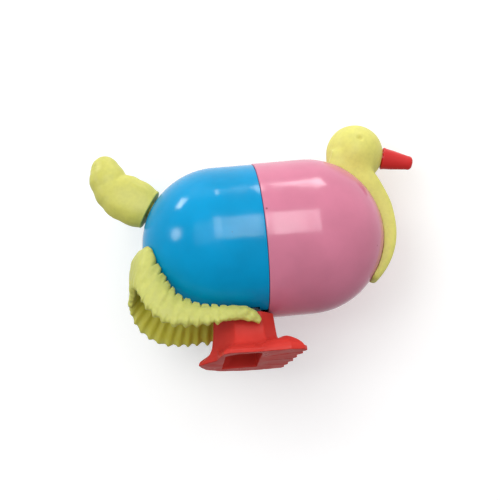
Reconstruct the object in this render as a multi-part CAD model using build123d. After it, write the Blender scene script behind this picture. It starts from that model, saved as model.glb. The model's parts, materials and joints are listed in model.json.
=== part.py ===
from build123d import *
import os
from math import acos, atan2, cos, degrees, hypot, pi, radians, sin, sqrt, tan

# Wind-up hopping chicken. Millimetres, +X towards the beak, +Y the toy's left, +Z up.
# The origin is on the ground, straight below the seam of the two body shells.
# The body and its clockwork are drawn in the body's own axes, with the seam's centre at zero,
# and are then lifted and pitched onto the foot.

os.makedirs("parts", exist_ok=True)

# Body shells
BODY_HEIGHT = 33.0          # seam's centre above the ground
BODY_PITCH = 1.5            # degrees, nose up
REAR_RADIUS = 20.95
FRONT_RADIUS = 21.15        # the front shell's rim stands a little proud of the rear one
WALL = 1.4
REAR_STRAIGHT = 10.5        # straight run behind the seam, before the round rump
FRONT_STRAIGHT = 13.4
SEAM_GAP = 0.1
LIP_LENGTH = 4.0            # spigot of the rear shell inside the front one
LIP_WALL = 1.2

# Ankle slot under the rear shell
SLOT_REAR = 17.0
SLOT_HALF_WIDTH = 6.7
SLOT_MOUTH_HALF_WIDTH = 5.0
SLOT_MOUTH_LENGTH = 2.4

# Clockwork, side view as (x, z)
PLATE_INNER = 7.0
PLATE_THICKNESS = 1.0
KEY_AXIS = (-5.0, 1.0)
OUTPUT_AXIS = (3.2, -8.9)
LEG_AXIS = (-10.0, -11.0)
GOVERNOR_ANGLE = -8.0       # direction of the governor from the output arbor, degrees
GREAT_TEETH, GREAT_MODULE = 36, 0.6
SECOND_PINION_TEETH = 10
SECOND_WHEEL_TEETH, FINE_MODULE = 28, 0.5
OUTPUT_PINION_TEETH = 9
OUTPUT_WHEEL_TEETH = 24
GOVERNOR_PINION_TEETH = 8
BACKLASH = 0.16             # taken off each tooth's thickness
KEY_ARBOR_RADIUS = 1.5
ARBOR_RADIUS = 0.8
OUTPUT_ARBOR_RADIUS = 0.9
GOVERNOR_ARBOR_RADIUS = 0.6
PIVOT_RADIUS = 0.8
RUNNING_GAP = 0.05          # radial, shaft in hole
ARBOR_END = 8.6             # where the inner arbors stop, outside the plates

# Layers of the clockwork across the body, as (low y, high y)
SPRING_LAYER = (-4.9, -0.4)
GREAT_LAYER = (0.6, 1.8)
RATCHET_LAYER = (2.0, 2.8)
SECOND_LAYER = (3.2, 4.0)
OUTPUT_LAYER = (5.0, 5.8)
CAM_LAYER = (-4.6, -2.8)
FLYWHEEL_LAYER = (-4.4, -2.4)

# Leg
CAM_BASE = 1.9
CAM_TIP = 3.2
ROLLER_RADIUS = 1.2
CAM_CLEARANCE = 0.25
LEG_CHEEK = (5.2, 6.2)
FLANGE_Z = -21.3            # underside of the lever's flange, on the ankle's top
FLANGE_THICKNESS = 0.9
FOOT_SCREW_X = (-11.2, -3.4)

# Head, beak and tail
HEAD_CENTRE = (30.2, 22.9)
HEAD_RADIUS = 7.9
BEAK_ANGLE = -15.6
TAIL_ANGLE = 146.5
TAIL_PEG_RADIUS = 2.2

# Foot, on the ground
SOLE_THICKNESS = 1.2
ANKLE_WALL = 1.3
ANKLE_X = (-14.0, 1.7)
ANKLE_HALF_WIDTH = 8.3
SOLE_TURN = 5.0             # degrees, the flat of the foot on its ankle

BODY = Pos(0, 0, BODY_HEIGHT) * Rot(0, -BODY_PITCH, 0)


def save(name, shape, place=BODY):
    """Put a piece in its place and write it as one node."""
    placed = place * shape
    placed.label = name
    export_step(placed, f"parts/{name}.step")


def slab(face, y_low, y_high):
    """Extrude a side-view face, drawn as (x, z), between two depths."""
    side = Plane(origin=(0, y_high, 0), x_dir=(1, 0, 0), z_dir=(0, -1, 0))
    return side * extrude(face, amount=y_high - y_low)


def disc(centre, radius, y_low, y_high):
    """Round bar along Y at a side-view centre."""
    return slab(Pos(*centre) * Circle(radius), y_low, y_high)


def polar(centre, radius, angle):
    """Point at a distance and an angle in degrees from a centre."""
    turn = radians(angle)
    return (centre[0] + radius * cos(turn), centre[1] + radius * sin(turn))


def bearing(a, b):
    """Direction from a to b in degrees."""
    return degrees(atan2(b[1] - a[1], b[0] - a[0]))


def crossing(a, ra, b, rb):
    """Point at distance ra from a and rb from b, on the upper right."""
    span = hypot(b[0] - a[0], b[1] - a[1])
    along = (ra**2 - rb**2 + span**2) / (2 * span)
    across = sqrt(ra**2 - along**2)
    ux, uz = (b[0] - a[0]) / span, (b[1] - a[1]) / span
    return (a[0] + along * ux - across * uz, a[1] + along * uz + across * ux)


def pitch_radius(teeth, module):
    return teeth * module / 2


SECOND_AXIS = crossing(
    KEY_AXIS,
    pitch_radius(GREAT_TEETH + SECOND_PINION_TEETH, GREAT_MODULE),
    OUTPUT_AXIS,
    pitch_radius(SECOND_WHEEL_TEETH + OUTPUT_PINION_TEETH, FINE_MODULE),
)
GOVERNOR_AXIS = polar(
    OUTPUT_AXIS,
    pitch_radius(OUTPUT_WHEEL_TEETH + GOVERNOR_PINION_TEETH, FINE_MODULE),
    GOVERNOR_ANGLE,
)
ROLLER_AXIS = (OUTPUT_AXIS[0], OUTPUT_AXIS[1] - CAM_TIP - CAM_CLEARANCE - ROLLER_RADIUS)


# ---------------------------------------------------------------- gears

def involute(angle):
    return tan(angle) - angle


def tooth_half_angle(radius, teeth, module):
    """Half the angle that one tooth fills at a radius."""
    pressure = radians(20)
    pitch_r = pitch_radius(teeth, module)
    base_r = pitch_r * cos(pressure)
    at_pitch = (pi * module / 2 - BACKLASH) / 2 / pitch_r
    at_radius = involute(acos(min(1.0, base_r / radius)))
    return at_pitch + involute(pressure) - at_radius


def gear_face(teeth, module, first_tooth, bore, addendum=0.9, dedendum=1.25):
    """Gear outline with one tooth centred on the direction first_tooth."""
    pitch_r = pitch_radius(teeth, module)
    base_r = pitch_r * cos(radians(20))
    tip_r = pitch_r + addendum * module
    root_r = pitch_r - dedendum * module
    low_r = max(base_r, root_r)
    radii = [low_r + (tip_r - low_r) * step / 3 for step in range(4)]
    half = [(root_r, tooth_half_angle(low_r, teeth, module))]
    half += [(r, tooth_half_angle(r, teeth, module)) for r in radii]
    outline = []
    for number in range(teeth):
        middle = radians(first_tooth) + 2 * pi * number / teeth
        rising = [(r, middle - a) for r, a in half]
        falling = [(r, middle + a) for r, a in reversed(half)]
        outline += [(r * cos(a), r * sin(a)) for r, a in rising + falling]
    wheel = make_face(Polyline(outline, close=True))
    return wheel - Circle(bore)


def gear(centre, teeth, module, first_tooth, bore, layer, **shape):
    return slab(Pos(*centre) * gear_face(teeth, module, first_tooth, bore, **shape), *layer)


def gap_towards(direction, teeth):
    """First-tooth angle that turns a gap between teeth to a direction."""
    return direction + 180 / teeth


def lightening(centre, ring, radius, count, start=0.0):
    """Ring of round holes in a wheel, as a list of side-view circles."""
    return [Pos(*polar(centre, ring, start + 360 * i / count)) * Circle(radius) for i in range(count)]


def drilled(solid, circles):
    """Drill side-view circles right through a solid."""
    for circle in circles:
        solid -= slab(circle, -30, 30)
    return solid


# ---------------------------------------------------------------- body shells

def capsule_end(radius, straight, direction, start=0.0):
    """Half capsule from a plane near the seam to one rounded end."""
    end = direction * straight
    tip = direction * (straight + radius)
    profile = make_face([
        Line((start, 0), (start, radius)),
        Line((start, radius), (end, radius)),
        RadiusArc((end, radius), (tip, 0), direction * radius),
        Line((tip, 0), (start, 0)),
    ])
    return revolve(profile, Axis.X)


def whole_capsule(grow=0.0):
    """Outside of both shells together, for cutting soft parts to fit them."""
    rear = capsule_end(REAR_RADIUS + grow, REAR_STRAIGHT, -1)
    front = capsule_end(FRONT_RADIUS + grow, FRONT_STRAIGHT, 1)
    return rear + front


def tail_frame():
    """Outward direction and the shell's surface at the tail's root."""
    return Pos(-REAR_STRAIGHT, 0, 0) * Rot(0, 90 - TAIL_ANGLE, 0)


def make_rear_shell():
    shell = capsule_end(REAR_RADIUS, REAR_STRAIGHT, -1)
    shell -= capsule_end(REAR_RADIUS - WALL, REAR_STRAIGHT, -1, start=1.0)
    # The lip is one with the wall behind the seam and stands forward of it.
    lip_radius = FRONT_RADIUS - WALL - 0.05
    lip = Rot(0, 90, 0) * Cylinder(lip_radius, 2 * LIP_LENGTH)
    lip -= Rot(0, 90, 0) * Cylinder(lip_radius - LIP_WALL, 2 * LIP_LENGTH + 1)
    shell += lip
    shell += motor_bosses()
    shell -= ankle_slot()
    shell -= disc(KEY_AXIS, KEY_ARBOR_RADIUS + 0.3, 0, 30)
    shell -= tail_frame() * Pos(0, 0, REAR_RADIUS - 2) * Cylinder(TAIL_PEG_RADIUS + 0.02, 8)
    return shell


def ankle_slot():
    """Opening for the leg lever, narrower where it runs out through the rim and lip."""
    depth = 16
    length = SLOT_REAR - SLOT_MOUTH_LENGTH
    slot = Box(length, 2 * SLOT_HALF_WIDTH, depth)
    slot = fillet(slot.edges().filter_by(Axis.Z).sort_by(Axis.X)[:2], 3.0)
    slot = Pos(-SLOT_MOUTH_LENGTH - length / 2, 0, -REAR_RADIUS) * slot
    mouth_length = SLOT_MOUTH_LENGTH + LIP_LENGTH + 2
    mouth = Box(mouth_length, 2 * SLOT_MOUTH_HALF_WIDTH, depth)
    return slot + Pos(LIP_LENGTH + 1 - mouth_length / 2, 0, -REAR_RADIUS) * mouth


BOSS_PLACES = ((-12.0, 10.6), (-17.0, -2.5))
BOSS_RADIUS = 1.9
SCREW_RADIUS = 0.8


def motor_bosses():
    """Posts inside the rear shell that the left motor plate is screwed to."""
    cavity = capsule_end(REAR_RADIUS - 0.3, REAR_STRAIGHT, -1)
    bosses = None
    for place in BOSS_PLACES:
        post = disc(place, BOSS_RADIUS, PLATE_INNER + PLATE_THICKNESS, 24) & cavity
        post -= disc(place, SCREW_RADIUS, 0, 15)
        bosses = post if bosses is None else bosses + post
    return bosses


def make_front_shell():
    shell = capsule_end(FRONT_RADIUS, FRONT_STRAIGHT, 1, start=SEAM_GAP)
    shell -= capsule_end(FRONT_RADIUS - WALL, FRONT_STRAIGHT, 1)
    rim = shell.edges().filter_by(GeomType.CIRCLE).group_by(Axis.X)[0].sort_by(SortBy.RADIUS)[-1:]
    return fillet(rim, 0.25)


# ---------------------------------------------------------------- soft vinyl pieces

def make_head_and_neck():
    """Round head on a strap that lies down the front of the body."""
    dome = (FRONT_STRAIGHT, 0.0)
    inner = FRONT_RADIUS - 1
    heights = ((-41, 1.5), (-30, 2.4), (-12, 3.5), (10, 4.2), (28, 5.2), (42, 7.4), (54, 7.0), (66, 2.0))
    outer = [polar(dome, FRONT_RADIUS + height, angle) for angle, height in heights]
    back_edge = RadiusArc(
        polar(dome, inner, heights[-1][0]), polar(dome, inner, heights[0][0]), inner
    )
    strap_edge = Spline(*outer)
    outline = make_face([
        strap_edge,
        Line(outer[-1], polar(dome, inner, heights[-1][0])),
        back_edge,
        Line(polar(dome, inner, heights[0][0]), outer[0]),
    ])
    strap = slab(outline, -4.0, 4.0)
    head = Pos(HEAD_CENTRE[0], 0, HEAD_CENTRE[1]) * Sphere(HEAD_RADIUS)
    piece = strap + head
    piece -= whole_capsule(0.02)
    # Eye dimples on both cheeks
    eye = polar(HEAD_CENTRE, 2.4, 73)
    for side in (-1, 1):
        piece -= Pos(eye[0], side * 7.5, eye[1]) * Sphere(0.7)
    socket = beak_frame() * Pos(0, 0, HEAD_RADIUS - 1) * Cylinder(BEAK_PEG_RADIUS, 8)
    piece -= socket
    return piece


BEAK_PEG_RADIUS = 1.7
BEAK_BASE_RADIUS = 3.1
BEAK_TIP_RADIUS = 1.85
BEAK_LENGTH = 9.1


def beak_frame():
    """Centre of the head, looking out along the beak."""
    return Pos(HEAD_CENTRE[0], 0, HEAD_CENTRE[1]) * Rot(0, 90 - BEAK_ANGLE, 0)


def make_beak():
    """Blunt cone whose flared back beds on the head, with a peg into it."""
    start = HEAD_RADIUS - 0.1
    cone = Cone(BEAK_BASE_RADIUS, BEAK_TIP_RADIUS, BEAK_LENGTH)
    cone = fillet(cone.edges().sort_by(Axis.Z)[-1:], 1.1)
    placed = Pos(0, 0, start - 0.4 + BEAK_LENGTH / 2) * cone
    placed -= Sphere(HEAD_RADIUS)
    peg = Pos(0, 0, start - 2.1) * Cylinder(BEAK_PEG_RADIUS, 4.6)
    return beak_frame() * (placed + peg)


def make_tail():
    """Hollow upturned curl, plugged into the shell by a peg."""
    stations = (
        ((-29.2, 12.6), 146, 5.5, 4.6),
        ((-33.2, 15.2), 142, 5.9, 5.0),
        ((-37.0, 17.8), 128, 6.0, 4.9),
        ((-39.2, 21.4), 103, 5.0, 4.4),
        ((-39.6, 24.6), 88, 3.9, 3.6),
        ((-39.4, 27.2), 84, 2.2, 2.3),
    )
    sections = []
    for (x, z), heading, half_height, half_width in stations:
        plane = Plane(origin=(x, 0, z), x_dir=(0, 1, 0), z_dir=(cos(radians(heading)), 0, sin(radians(heading))))
        sections.append(plane * Ellipse(half_width, half_height))
    curl = loft(sections)
    root = tail_frame() * Pos(0, 0, REAR_RADIUS - 0.5)
    peg = root * Cylinder(TAIL_PEG_RADIUS, 6.0)
    recess = Pos(-29.2, 0, 12.6) * Rot(0, 90 - TAIL_ANGLE, 0) * (
        Cylinder(3.6, 4.0) - Cylinder(TAIL_PEG_RADIUS, 4.0)
    )
    return curl + peg - recess - whole_capsule(0.02) + (peg & whole_capsule(0.02))


# Feather frill: for each station from the ankle round to the middle of the rump,
# the edge that lies on the shell, the free lower edge, and the thickness.
FRILL = (
    ((-3.0, 9.6, -23.0), (-3.8, 9.8, -24.8), 1.2),
    ((-5.8, 9.8, -20.6), (-6.4, 10.3, -24.3), 2.2),
    ((-10.5, 10.0, -19.6), (-10.5, 11.0, -24.1), 2.6),
    ((-15.5, 10.0, -18.9), (-16.0, 11.5, -24.6), 2.8),
    ((-20.5, 9.6, -17.2), (-22.2, 11.9, -24.6), 3.0),
    ((-24.3, 9.3, -14.2), (-28.2, 12.0, -23.2), 3.0),
    ((-26.8, 9.2, -9.8), (-33.0, 11.5, -19.0), 3.2),
    ((-28.5, 9.1, -5.6), (-34.6, 9.9, -14.4), 3.2),
    ((-29.6, 8.2, -1.9), (-34.3, 7.0, -12.3), 3.0),
    ((-31.4, 0.0, -0.8), (-34.0, 0.0, -10.9), 3.1),
)


def frill_section(upper, lower, thickness, side):
    """Flat strip across the frill at one station."""
    top = Vector(upper[0], side * upper[1], upper[2])
    bottom = Vector(lower[0], side * lower[1], lower[2])
    middle = Vector(-12.0, 0, -12.0)
    down = (bottom - top).normalized()
    outward = (top - middle) - down * (top - middle).dot(down)
    outward = outward.normalized() * thickness
    corners = [top, bottom, bottom + outward * 0.7, top + outward]
    return make_face(Polyline(corners, close=True))


def make_feather_frill():
    """U-shaped skirt round the rump, from one side of the ankle to the other."""
    stations = [(row, -1) for row in FRILL] + [(row, 1) for row in reversed(FRILL[:-1])]
    pieces = [frill_section(*row, side) for row, side in stations]
    frill = None
    for first, second in zip(pieces, pieces[1:]):
        span = loft([first, second], ruled=True)
        frill = span if frill is None else frill + span
    return frill - whole_capsule(0.03)


# ---------------------------------------------------------------- foot and leg

def make_foot():
    """Hollow foot: webbed sole, sloping toes and a tall ankle open below."""
    sole = extrude(sole_outline(), amount=SOLE_THICKNESS)
    ankle = loft([ankle_section(0.0, 0.6), ankle_section(7.0, 0.0), ankle_section(12.6, -0.3)], ruled=True)
    toes = toe_ramp() & extrude(sole_outline(), amount=9)
    hollow = loft([
        ankle_section(-0.5, 0.6 - ANKLE_WALL),
        ankle_section(7.0, -ANKLE_WALL),
        ankle_section(10.2, -0.2 - ANKLE_WALL),
    ], ruled=True) & Pos(-7.5, 0, 5) * Box(9.4, 30, 30)
    lifted = BODY * Pos(0, 0, FLANGE_Z + 10) * Box(80, 60, 20)
    foot = sole + ankle + toes - hollow - lifted
    for x in FOOT_SCREW_X:
        foot -= BODY * Pos(x, 0, FLANGE_Z) * Cylinder(SCREW_RADIUS, 8)
    return foot


def sole_outline():
    """Two merged webbed feet: a spur behind, scalloped toes in front."""
    rear_half = [(-11.9, 8.8), (-7.0, 12.6), (-3.0, 13.2), (8.2, 12.4)]
    toes = [(8.7, 10.6), (7.7, 8.6), (8.3, 7.6), (7.1, 4.9), (7.4, 2.6), (6.4, 0.9)]
    left = [(-16.4, 3.2)] + [(x - 1.0, y) for x, y in rear_half] + toes
    right = [(x, -y) for x, y in reversed(left)]
    outline = [(-19.0, 0.6)] + left + right
    return Rot(0, 0, SOLE_TURN) * make_face(Polyline(outline, close=True))


def ankle_section(height, grow):
    """Long octagon across the ankle, larger at the back corners."""
    low, high = ANKLE_X[0] - grow, ANKLE_X[1] + grow
    half = ANKLE_HALF_WIDTH + grow
    side = [(low, -half + 6.0), (low + 5.0, -half), (high - 3.5, -half), (high, -half + 4.0)]
    outline = side + [(x, -y) for x, y in reversed(side)]
    return Pos(0, 0, height) * make_face(Polyline(outline, close=True))


def toe_ramp():
    """Roof over the toes, highest at the ankle and falling to the front and sides."""
    crest = [(-10.0, 5.2), (1.0, 6.4), (5.0, 5.2), (9.2, 1.6), (9.2, 0), (-10.0, 0)]
    front = extrude(Plane.XZ * make_face(Polyline(crest, close=True)), amount=15, both=True)
    sides = [(-14.0, 0.6), (-8.0, 5.0), (-3.0, 6.8), (3.0, 6.8), (8.0, 5.0), (14.0, 0.6), (14.0, 0), (-14.0, 0)]
    across = extrude(Plane.YZ * make_face(Polyline(sides, close=True)), amount=20, both=True)
    return front & across


def make_leg_lever():
    """Bent steel bracket: two pivoted cheeks, a flange on the ankle and the cam arm."""
    flange_top = FLANGE_Z + FLANGE_THICKNESS
    pivot = Pos(*LEG_AXIS) * Circle(2.0)
    web = make_face(Polyline([
        (LEG_AXIS[0] - 2, LEG_AXIS[1]),
        (-12.8, FLANGE_Z),
        (-2.2, FLANGE_Z),
        (LEG_AXIS[0] + 2, LEG_AXIS[1]),
    ], close=True))
    arm = make_face(Polyline([
        (LEG_AXIS[0], LEG_AXIS[1] - 1.9),
        (LEG_AXIS[0], LEG_AXIS[1] - 6.0),
        (ROLLER_AXIS[0], ROLLER_AXIS[1] - 1.6),
        (ROLLER_AXIS[0], ROLLER_AXIS[1] + 1.0),
    ], close=True))
    arm_end = Pos(*ROLLER_AXIS) * Circle(1.3)
    cheek = pivot + web
    inner, outer = LEG_CHEEK
    lever = slab(cheek, inner, outer) + slab(cheek + arm + arm_end, -outer, -inner)
    flange = Pos(-7.5, 0, (FLANGE_Z + flange_top) / 2) * Box(10.6, 2 * outer, FLANGE_THICKNESS)
    lever += flange
    lever -= disc(LEG_AXIS, PIVOT_RADIUS + RUNNING_GAP, -10, 10)
    lever -= disc(ROLLER_AXIS, 0.6, -10, 10)
    for x in FOOT_SCREW_X:
        lever -= Pos(x, 0, FLANGE_Z) * Cylinder(SCREW_RADIUS, 8)
    return lever


def make_foot_screws():
    """Two screws from inside the ankle into the lever's flange."""
    screws = []
    for x in FOOT_SCREW_X:
        shank = Pos(x, 0, FLANGE_Z - 0.6) * Cylinder(SCREW_RADIUS, 4.4)
        screws.append(shank)
    return Compound(children=screws)


# ---------------------------------------------------------------- clockwork

PILLAR_PLACES = ((-15.4, 9.4), (11.6, 9.6), (-16.4, -7.0), (8.6, -15.0))
PILLAR_RADIUS = 1.2
SPRING_POST = polar(KEY_AXIS, 8.9, 180)
SPRING_POST_RADIUS = 0.7


def plate_outline():
    corners = [
        (-18.0, 8.0), (-14.0, 12.4), (9.0, 12.4), (14.0, 9.0),
        (14.0, -11.5), (10.6, -16.8), (6.6, -16.8), (4.0, -13.4), (-11.5, -13.4), (-18.2, -7.0),
    ]
    return make_face(Polyline(corners, close=True))


def make_motor_plate(side):
    """Side plate of the motor, drilled for every arbor."""
    low, high = sorted((side * PLATE_INNER, side * (PLATE_INNER + PLATE_THICKNESS)))
    plate = slab(plate_outline(), low, high)
    holes = [
        (KEY_AXIS, KEY_ARBOR_RADIUS + RUNNING_GAP),
        (SECOND_AXIS, ARBOR_RADIUS + RUNNING_GAP),
        (OUTPUT_AXIS, OUTPUT_ARBOR_RADIUS + RUNNING_GAP),
        (GOVERNOR_AXIS, GOVERNOR_ARBOR_RADIUS + RUNNING_GAP),
        (LEG_AXIS, PIVOT_RADIUS),
    ]
    if side > 0:
        holes += [(place, SCREW_RADIUS + 0.1) for place in BOSS_PLACES]
    return drilled(plate, [Pos(*centre) * Circle(radius) for centre, radius in holes])


def make_plate_pillars():
    """Spacers between the plates and the short post that anchors the mainspring."""
    posts = [disc(place, PILLAR_RADIUS, -PLATE_INNER, PLATE_INNER) for place in PILLAR_PLACES]
    posts.append(disc(SPRING_POST, SPRING_POST_RADIUS, -PLATE_INNER, SPRING_LAYER[1]))
    return Compound(children=posts)


def make_motor_screws():
    """Round-headed screws through the left plate into the shell's bosses."""
    screws = []
    for place in BOSS_PLACES:
        head = disc(place, 1.5, PLATE_INNER - 0.9, PLATE_INNER)
        head = fillet(head.edges().sort_by(Axis.Y)[:1], 0.4)
        screws.append(head + disc(place, SCREW_RADIUS, PLATE_INNER - 0.4, 14.0))
    return Compound(children=screws)


def make_mainspring():
    """Flat spiral spring of half turns about two centres."""
    pitch = 1.16
    strip = 0.4
    half_turns = 10
    start = 2.1 + strip / 2
    spring = None
    for number in range(half_turns):
        side = 1 if number % 2 == 0 else -1
        shift = pitch / 4 * side
        radius = start + pitch / 4 + number * pitch / 2
        ring = Circle(radius + strip / 2) - Circle(radius - strip / 2)
        keep = Pos(0, side * 15) * Rectangle(60, 30)
        half = Pos(KEY_AXIS[0] - shift, KEY_AXIS[1]) * (ring & keep)
        turn = slab(half, *SPRING_LAYER)
        spring = turn if spring is None else spring + turn
    return spring


def make_spring_hub():
    """Collar on the key arbor that holds the spring's inner end."""
    hub = disc(KEY_AXIS, 2.0, *SPRING_LAYER)
    return hub - disc(KEY_AXIS, KEY_ARBOR_RADIUS, -30, 30)


def make_great_wheel():
    towards_second = bearing(KEY_AXIS, SECOND_AXIS)
    wheel = gear(KEY_AXIS, GREAT_TEETH, GREAT_MODULE, towards_second, KEY_ARBOR_RADIUS, GREAT_LAYER)
    return drilled(wheel, lightening(KEY_AXIS, 7.2, 1.6, 5, 36))


def make_ratchet_wheel():
    """Saw-toothed wheel that lets the key wind without the train."""
    teeth = 12
    tip, root = 3.3, 2.7
    outline = []
    for number in range(teeth):
        outline.append(polar(KEY_AXIS, tip, 360 * number / teeth))
        outline.append(polar(KEY_AXIS, root, 360 * number / teeth))
    ratchet = slab(make_face(Polyline(outline, close=True)), *RATCHET_LAYER)
    return ratchet - disc(KEY_AXIS, KEY_ARBOR_RADIUS, -30, 30)


def make_click_spring():
    """Bent strip on the great wheel whose tip drops into the ratchet."""
    foot_place = polar(KEY_AXIS, 6.9, 0)
    tip = polar(KEY_AXIS, 3.35, 88)
    strip = Polyline([
        (foot_place[0], foot_place[1] - 1.3), (foot_place[0] + 0.9, foot_place[1] - 1.3),
        (foot_place[0] + 0.9, foot_place[1] + 1.3), (tip[0] + 0.3, tip[1] + 0.9),
        tip, (foot_place[0] - 0.9, foot_place[1] + 0.9),
    ], close=True)
    return slab(make_face(strip), GREAT_LAYER[1], RATCHET_LAYER[1])


def make_second_pinion():
    to_key = bearing(SECOND_AXIS, KEY_AXIS)
    start = gap_towards(to_key, SECOND_PINION_TEETH)
    layer = (GREAT_LAYER[0] - 0.3, GREAT_LAYER[1] + 0.3)
    return gear(SECOND_AXIS, SECOND_PINION_TEETH, GREAT_MODULE, start, ARBOR_RADIUS, layer)


def make_second_wheel():
    start = bearing(SECOND_AXIS, OUTPUT_AXIS)
    wheel = gear(SECOND_AXIS, SECOND_WHEEL_TEETH, FINE_MODULE, start, ARBOR_RADIUS, SECOND_LAYER)
    return drilled(wheel, lightening(SECOND_AXIS, 4.0, 1.2, 5))


def make_output_pinion():
    to_second = bearing(OUTPUT_AXIS, SECOND_AXIS)
    start = gap_towards(to_second, OUTPUT_PINION_TEETH)
    layer = (SECOND_LAYER[0] - 0.3, SECOND_LAYER[1] + 0.3)
    return gear(OUTPUT_AXIS, OUTPUT_PINION_TEETH, FINE_MODULE, start, OUTPUT_ARBOR_RADIUS, layer)


def make_output_wheel():
    wheel = gear(
        OUTPUT_AXIS, OUTPUT_WHEEL_TEETH, FINE_MODULE, GOVERNOR_ANGLE, OUTPUT_ARBOR_RADIUS, OUTPUT_LAYER
    )
    return drilled(wheel, lightening(OUTPUT_AXIS, 3.3, 0.9, 5))


def make_governor_pinion():
    start = gap_towards(GOVERNOR_ANGLE + 180, GOVERNOR_PINION_TEETH)
    layer = (OUTPUT_LAYER[0] - 0.3, OUTPUT_LAYER[1] + 0.3)
    return gear(GOVERNOR_AXIS, GOVERNOR_PINION_TEETH, FINE_MODULE, start, GOVERNOR_ARBOR_RADIUS, layer)


def make_hop_cam():
    """Snail cam on the output arbor, one hop for each turn."""
    steps = 24
    outline = []
    for step in range(steps + 1):
        radius = CAM_BASE + (CAM_TIP - CAM_BASE) * step / steps
        outline.append(polar(OUTPUT_AXIS, radius, 90 + 330 * step / steps))
    cam = slab(make_face(Polyline(outline, close=True)), *CAM_LAYER)
    return cam - disc(OUTPUT_AXIS, OUTPUT_ARBOR_RADIUS, -30, 30)


def make_flywheel():
    wheel = disc(GOVERNOR_AXIS, 3.4, *FLYWHEEL_LAYER)
    wheel = chamfer(wheel.edges().filter_by(GeomType.CIRCLE), 0.3)
    return wheel - disc(GOVERNOR_AXIS, GOVERNOR_ARBOR_RADIUS, -30, 30)


def make_arbor(axis, radius):
    """Plain steel arbor with rounded ends, from plate to plate."""
    arbor = disc(axis, radius, -ARBOR_END, ARBOR_END)
    return chamfer(arbor.edges().filter_by(GeomType.CIRCLE), 0.2)


KEY_ARBOR_TOP = 24.4


def make_winding_arbor():
    arbor = disc(KEY_AXIS, KEY_ARBOR_RADIUS, -ARBOR_END, KEY_ARBOR_TOP)
    return chamfer(arbor.edges().filter_by(GeomType.CIRCLE), 0.25)


KNOB_BASE = 21.7
KNOB_TOP = 25.4
KNOB_RADIUS = 6.2


def make_winding_key():
    """Low fluted winding knob with a grip bar across it."""
    base = disc(KEY_AXIS, KNOB_RADIUS, KNOB_BASE, KNOB_BASE + 1.4)
    base = fillet(base.edges().filter_by(GeomType.CIRCLE), 0.4)
    flutes = [Pos(*polar(KEY_AXIS, KNOB_RADIUS + 0.35, 20 * i)) * Circle(0.7) for i in range(18)]
    for flute in flutes:
        base -= slab(flute, KNOB_BASE - 1, KNOB_BASE + 2)
    bar = slab(Pos(*KEY_AXIS) * Rot(0, 0, 35) * SlotOverall(10.6, 3.2), KNOB_BASE + 1.0, KNOB_TOP)
    bar = fillet(bar.edges().sort_by(Axis.Y)[-4:], 0.5)
    knob = base + bar
    return knob - disc(KEY_AXIS, KEY_ARBOR_RADIUS, KNOB_BASE - 1, KEY_ARBOR_TOP)


def make_foot_pivot_pin():
    return disc(LEG_AXIS, PIVOT_RADIUS, -ARBOR_END, ARBOR_END)


def make_follower_pin():
    return disc(ROLLER_AXIS, 0.6, -LEG_CHEEK[1], CAM_LAYER[1] + 0.3)


def make_follower_roller():
    roller = disc(ROLLER_AXIS, ROLLER_RADIUS, *CAM_LAYER)
    return roller - disc(ROLLER_AXIS, 0.6 + RUNNING_GAP, -30, 30)


COIL_PITCH = 1.7            # in wire radii, so that the turns are one body


def make_foot_return_spring():
    """Torsion spring on the pivot pin: a close coil with two straight legs."""
    wire = 0.35
    coil_radius = PIVOT_RADIUS + 0.25 + wire
    y_start = -3.6
    turns = 5
    coil = None
    for number in range(turns):
        ring = Pos(LEG_AXIS[0], y_start + number * COIL_PITCH * wire, LEG_AXIS[1]) * Rot(90, 0, 0)
        ring *= Torus(coil_radius, wire)
        coil = ring if coil is None else coil + ring
    y_end = y_start + (turns - 1) * COIL_PITCH * wire
    up_leg = Pos(LEG_AXIS[0] - coil_radius, y_start, LEG_AXIS[1] + 2.6) * Cylinder(wire, 5.2)
    down_leg = Pos(LEG_AXIS[0] - coil_radius, y_end, LEG_AXIS[1] - 3.4) * Cylinder(wire, 6.8)
    return coil + up_leg + down_leg


# ---------------------------------------------------------------- write every node

save("rear_shell", make_rear_shell())
save("front_shell", make_front_shell())
save("head_and_neck", make_head_and_neck())
save("beak", make_beak())
save("tail", make_tail())
save("feather_frill", make_feather_frill())
save("motor_plate_left", make_motor_plate(1))
save("motor_plate_right", make_motor_plate(-1))
save("plate_pillars", make_plate_pillars())
save("motor_screws", make_motor_screws())
save("mainspring", make_mainspring())
save("foot_pivot_pin", make_foot_pivot_pin())
save("foot_return_spring", make_foot_return_spring())
save("winding_key", make_winding_key())
save("winding_arbor", make_winding_arbor())
save("spring_hub", make_spring_hub())
save("great_wheel", make_great_wheel())
save("ratchet_wheel", make_ratchet_wheel())
save("click_spring", make_click_spring())
save("second_arbor", make_arbor(SECOND_AXIS, ARBOR_RADIUS))
save("second_pinion", make_second_pinion())
save("second_wheel", make_second_wheel())
save("output_arbor", make_arbor(OUTPUT_AXIS, OUTPUT_ARBOR_RADIUS))
save("output_pinion", make_output_pinion())
save("output_wheel", make_output_wheel())
save("hop_cam", make_hop_cam())
save("governor_arbor", make_arbor(GOVERNOR_AXIS, GOVERNOR_ARBOR_RADIUS))
save("governor_pinion", make_governor_pinion())
save("flywheel", make_flywheel())
save("foot", make_foot(), Location())
save("leg_lever", make_leg_lever())
save("foot_screws", make_foot_screws())
save("follower_pin", make_follower_pin())
save("follower_roller", make_follower_roller())
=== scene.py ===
import json
from math import cos, exp, pi, radians, sin, sqrt, tan

import bmesh
import bpy
import numpy as np
from mathutils import Matrix, Vector


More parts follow.
